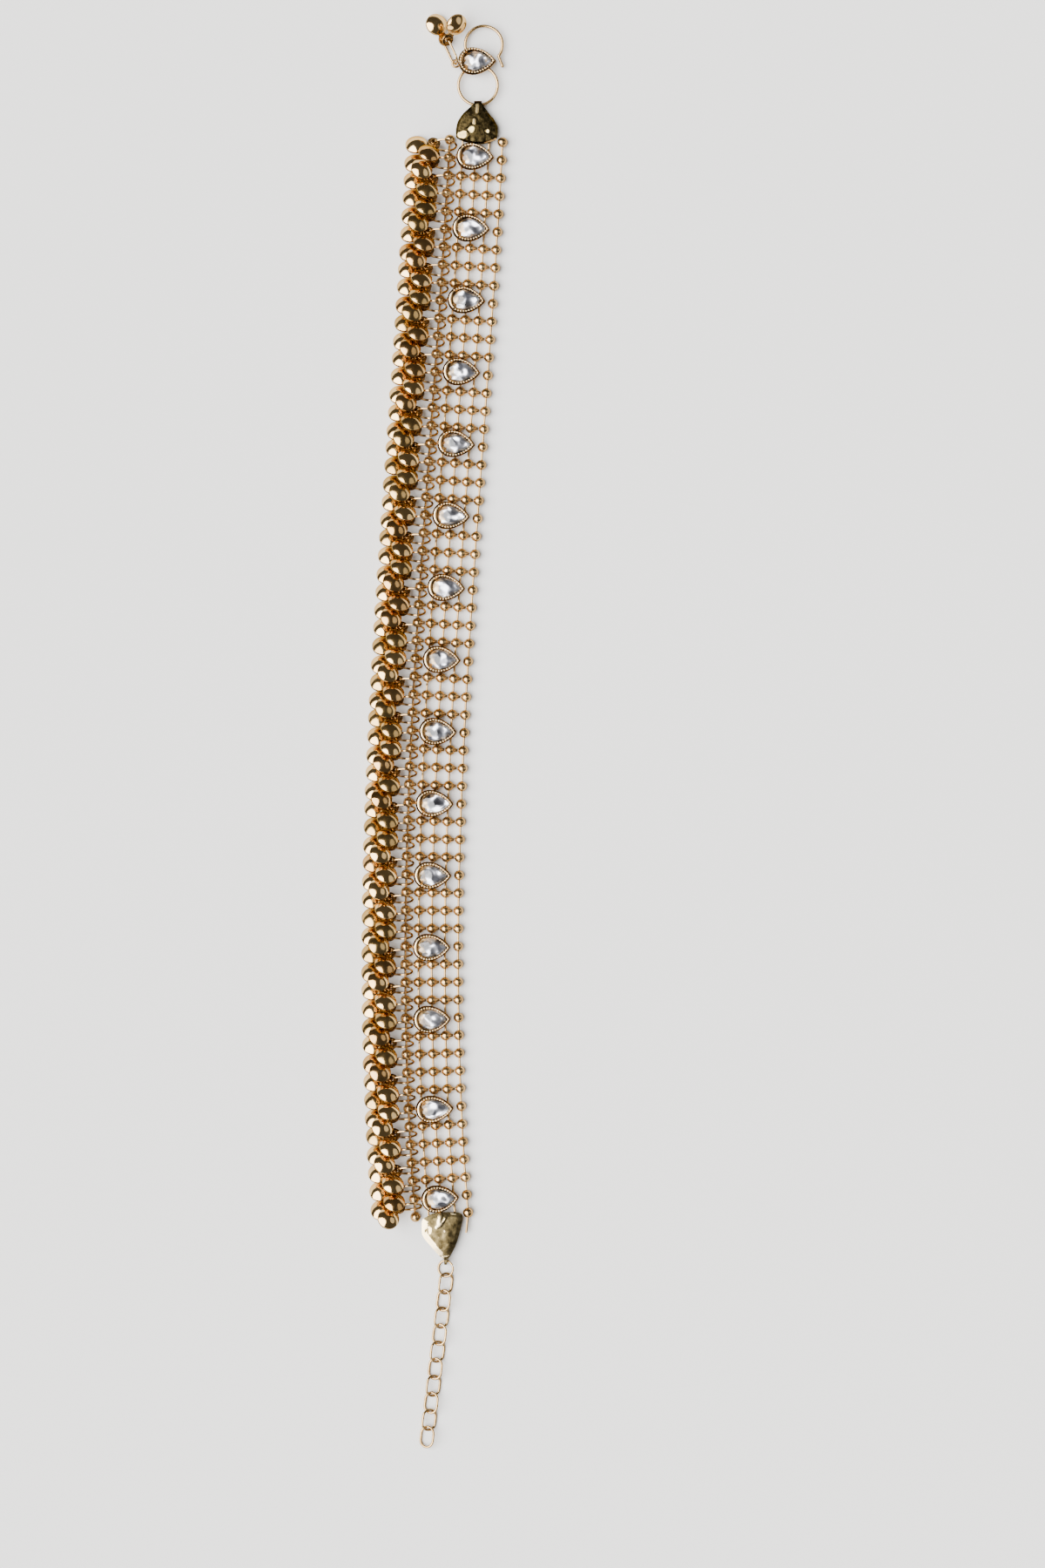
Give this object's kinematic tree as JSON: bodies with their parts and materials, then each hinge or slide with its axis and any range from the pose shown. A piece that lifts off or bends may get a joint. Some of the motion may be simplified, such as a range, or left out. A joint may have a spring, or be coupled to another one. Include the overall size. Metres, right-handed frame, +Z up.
{
  "type": "anklet",
  "caption": "Gold coloured anklet with a five strand ball mesh band, pear stones in collets, a fringe of small bells along one edge, an S hook and an extension chain.",
  "frame": {"origin": "centre of the bounding box at the surface the anklet lies on", "axes": "+Z up from the surface, +Y along the band towards the hook, +X to the side away from the bells"},
  "size_m": [0.0302, 0.2965, 0.0073],
  "materials": {
    "gold_plate": "satin antique gold plate over brass",
    "bell_gold": "polished gold plate over sheet brass",
    "rose_gold_wire": "rose gold plated wire",
    "end_plate_brass": "dull olive coloured sheet brass",
    "foiled_stone": "clear foil-backed pear stone, polished facets"
  },
  "bodies": {
    "root": {"ball_strand_1": "gold_plate", "ball_strand_2": "gold_plate", "ball_strand_3": "gold_plate", "ball_strand_4": "gold_plate", "ball_strand_5": "gold_plate", "setting_01": "gold_plate", "setting_02": "gold_plate", "setting_03": "gold_plate", "setting_04": "gold_plate", "setting_05": "gold_plate", "setting_06": "gold_plate", "setting_07": "gold_plate", "setting_08": "gold_plate", "setting_09": "gold_plate", "setting_10": "gold_plate", "setting_11": "gold_plate", "setting_12": "gold_plate", "setting_13": "gold_plate", "setting_14": "gold_plate", "setting_15": "gold_plate", "bells_lower_1": "bell_gold", "bells_lower_2": "bell_gold", "bells_upper_1": "bell_gold", "bells_upper_2": "bell_gold", "clasp_bells": "bell_gold", "clasp_hook": "rose_gold_wire", "clasp_bell_ring": "rose_gold_wire", "bell_rings": "rose_gold_wire", "chain_ring": "rose_gold_wire", "extension_chain": "rose_gold_wire", "top_plate": "end_plate_brass", "bottom_plate": "end_plate_brass", "stone_01": "foiled_stone", "stone_02": "foiled_stone", "stone_03": "foiled_stone", "stone_04": "foiled_stone", "stone_05": "foiled_stone", "stone_06": "foiled_stone", "stone_07": "foiled_stone", "stone_08": "foiled_stone", "stone_09": "foiled_stone", "stone_10": "foiled_stone", "stone_11": "foiled_stone", "stone_12": "foiled_stone", "stone_13": "foiled_stone", "stone_14": "foiled_stone", "stone_15": "foiled_stone", "clasp_stone": "foiled_stone"}
  },
  "joints": []
}
